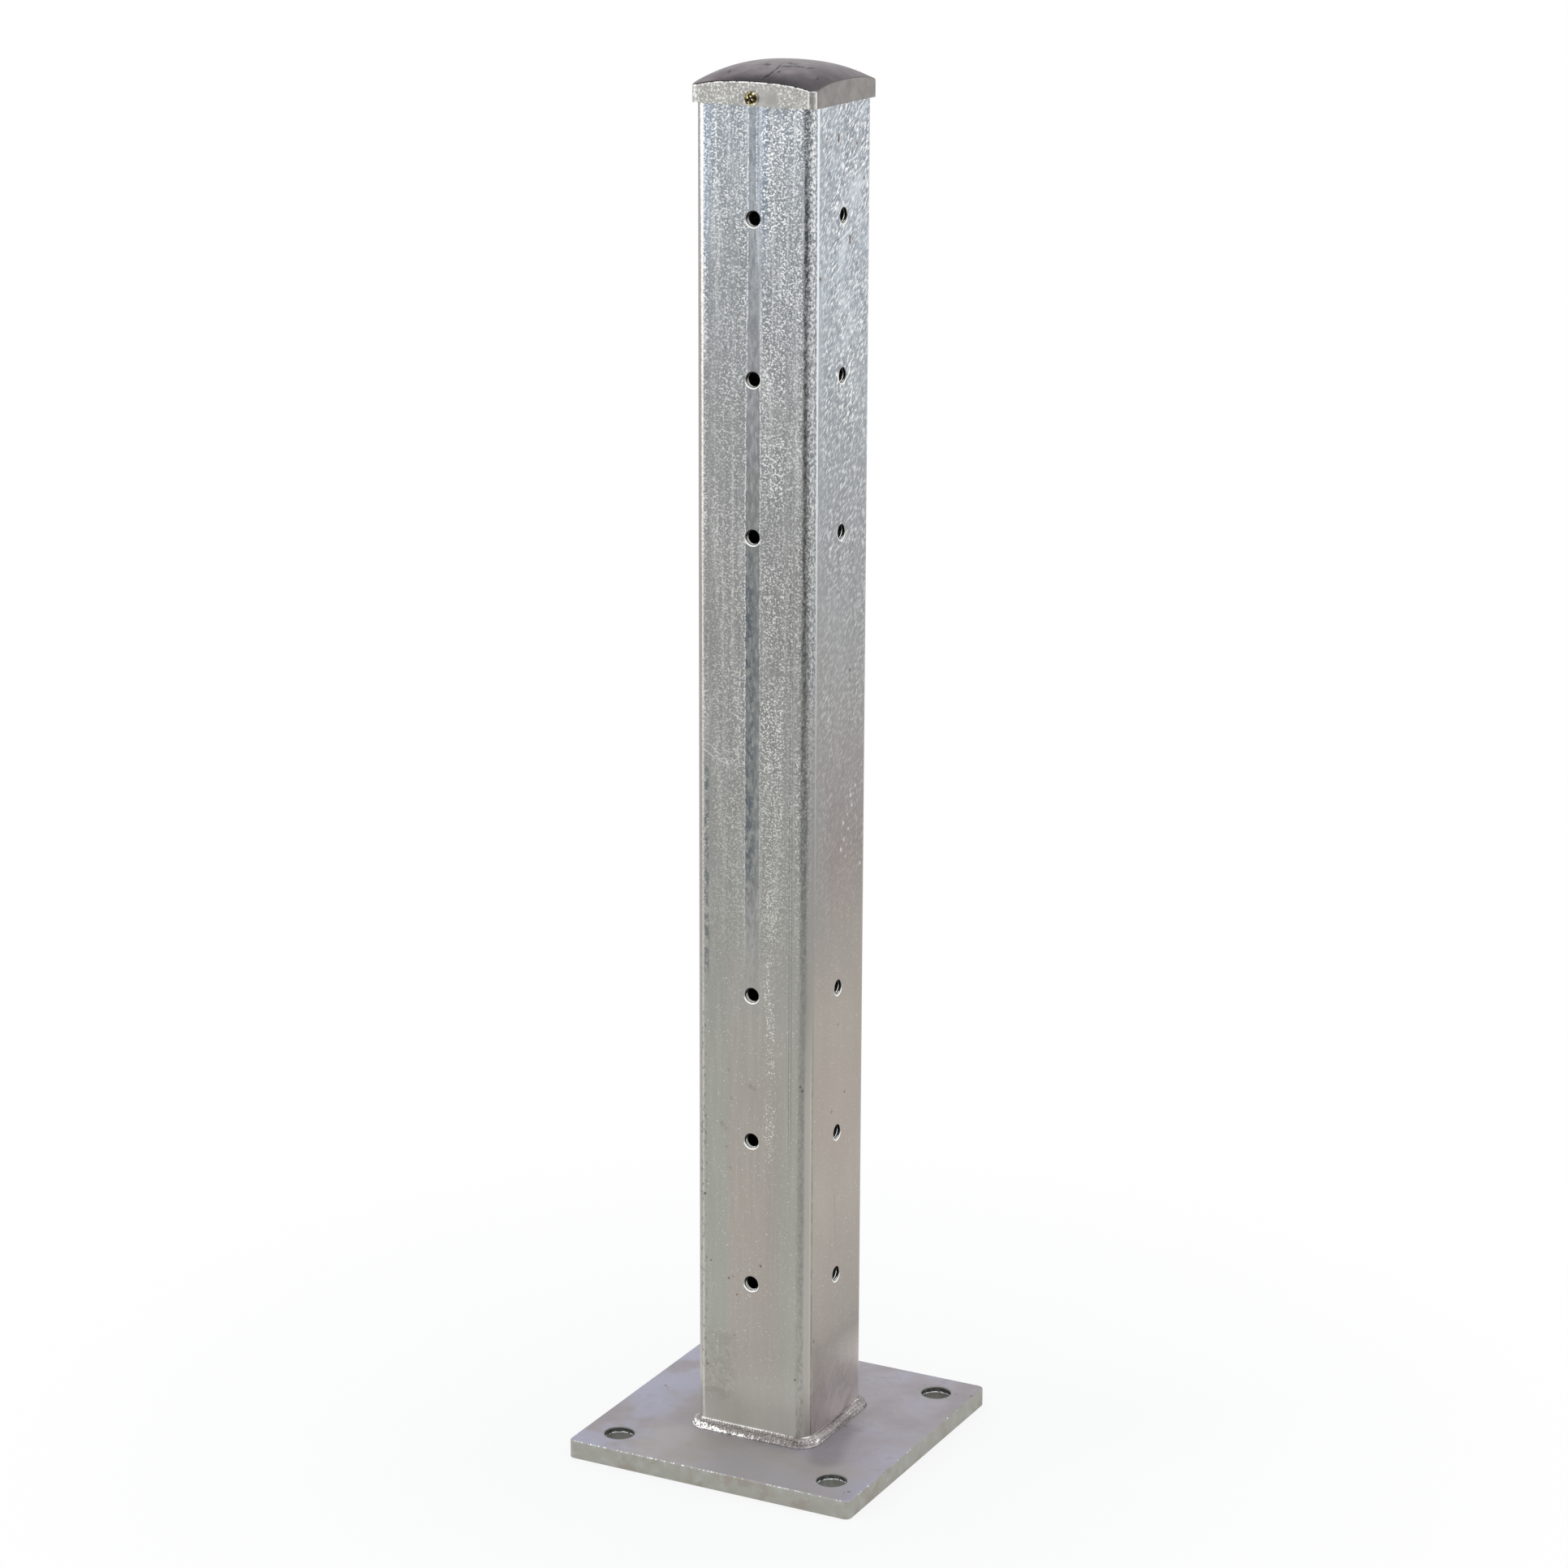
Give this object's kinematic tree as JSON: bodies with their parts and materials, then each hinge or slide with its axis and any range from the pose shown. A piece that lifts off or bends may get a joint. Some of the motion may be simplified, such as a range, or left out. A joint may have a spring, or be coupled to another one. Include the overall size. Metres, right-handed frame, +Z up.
{
  "type": "guardrail post",
  "caption": "Square galvanised steel guardrail post on a welded base plate, with tapped rail holes in adjacent faces and a domed cap held by a screw.",
  "frame": {"origin": "centre of the base plate's underside", "axes": "+Z up along the post. The front face, with the cap screw, looks along -Y and the right face along +X; both have the tapped rail holes"},
  "size_m": [0.25, 0.25, 1.1],
  "materials": {
    "galvanised_plate": "hot-dip galvanised, mottled satin",
    "galvanised_tube": "hot-dip galvanised, fine bumps and spangle",
    "galvanised_weld": "hot-dip galvanised weld bead, rippled",
    "galvanised_cap": "galvanised casting, satin",
    "yellow_zinc_screw": "yellow zinc plated"
  },
  "bodies": {
    "root": {"base_plate": "galvanised_plate", "post_tube": "galvanised_tube", "weld_front": "galvanised_weld", "weld_right": "galvanised_weld", "weld_back": "galvanised_weld", "weld_left": "galvanised_weld", "post_cap": "galvanised_cap", "cap_screw": "yellow_zinc_screw"}
  },
  "joints": []
}
